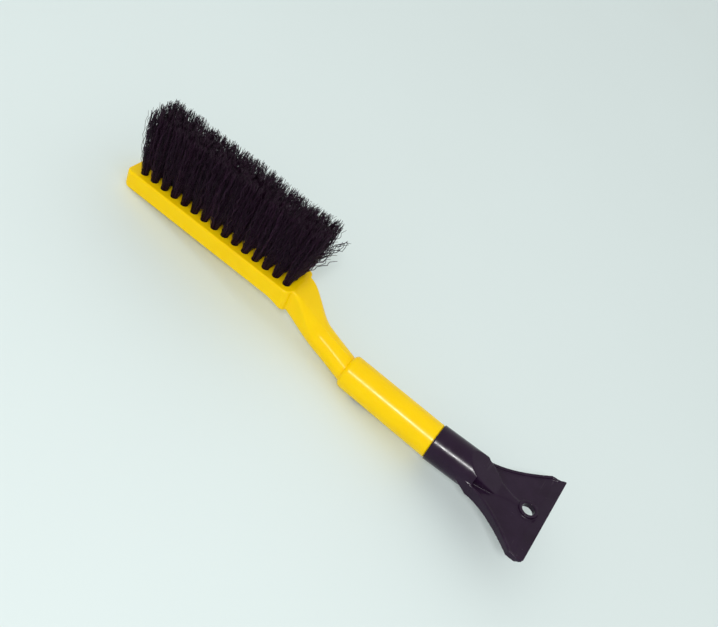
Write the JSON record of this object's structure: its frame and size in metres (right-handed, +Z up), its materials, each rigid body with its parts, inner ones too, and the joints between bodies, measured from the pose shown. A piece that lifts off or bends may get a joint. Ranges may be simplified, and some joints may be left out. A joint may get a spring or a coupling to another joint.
{
  "type": "snow brush",
  "caption": "Hand snow brush: yellow moulded head, cranked neck and round grip, rows of black bristle tufts, and a black flared ice scraper with a hang hole.",
  "frame": {"origin": "under the middle of the brush, on the table that it lies on, bristles up, resting on the end of its head and the start of its grip", "axes": "+X along the brush from the free end of the head towards the scraper's cutting edge, +Y across it, +Z up from the table; the bristle face looks up and is pitched 10.3 degrees towards the free end of the head"},
  "size_m": [0.4548, 0.1004, 0.1119],
  "materials": {
    "yellow_plastic": "glossy moulded polypropylene",
    "black_plastic": "semi-gloss moulded, faint purple tint",
    "bristle": "crimped synthetic bristle, satin"
  },
  "bodies": {
    "root": {"brush_handle": "yellow_plastic", "ice_scraper": "black_plastic", "tuft_r1_c01": "bristle", "tuft_r1_c02": "bristle", "tuft_r1_c03": "bristle", "tuft_r1_c04": "bristle", "tuft_r1_c05": "bristle", "tuft_r1_c06": "bristle", "tuft_r1_c07": "bristle", "tuft_r1_c08": "bristle", "tuft_r1_c09": "bristle", "tuft_r1_c10": "bristle", "tuft_r1_c11": "bristle", "tuft_r1_c12": "bristle", "tuft_r1_c13": "bristle", "tuft_r1_c14": "bristle", "tuft_r1_c15": "bristle", "tuft_r2_c01": "bristle", "tuft_r2_c02": "bristle", "tuft_r2_c03": "bristle", "tuft_r2_c04": "bristle", "tuft_r2_c05": "bristle", "tuft_r2_c06": "bristle", "tuft_r2_c07": "bristle", "tuft_r2_c08": "bristle", "tuft_r2_c09": "bristle", "tuft_r2_c10": "bristle", "tuft_r2_c11": "bristle", "tuft_r2_c12": "bristle", "tuft_r2_c13": "bristle", "tuft_r2_c14": "bristle", "tuft_r2_c15": "bristle", "tuft_r3_c01": "bristle", "tuft_r3_c02": "bristle", "tuft_r3_c03": "bristle", "tuft_r3_c04": "bristle", "tuft_r3_c05": "bristle", "tuft_r3_c06": "bristle", "tuft_r3_c07": "bristle", "tuft_r3_c08": "bristle", "tuft_r3_c09": "bristle", "tuft_r3_c10": "bristle", "tuft_r3_c11": "bristle", "tuft_r3_c12": "bristle", "tuft_r3_c13": "bristle", "tuft_r3_c14": "bristle", "tuft_r3_c15": "bristle"}
  },
  "joints": []
}
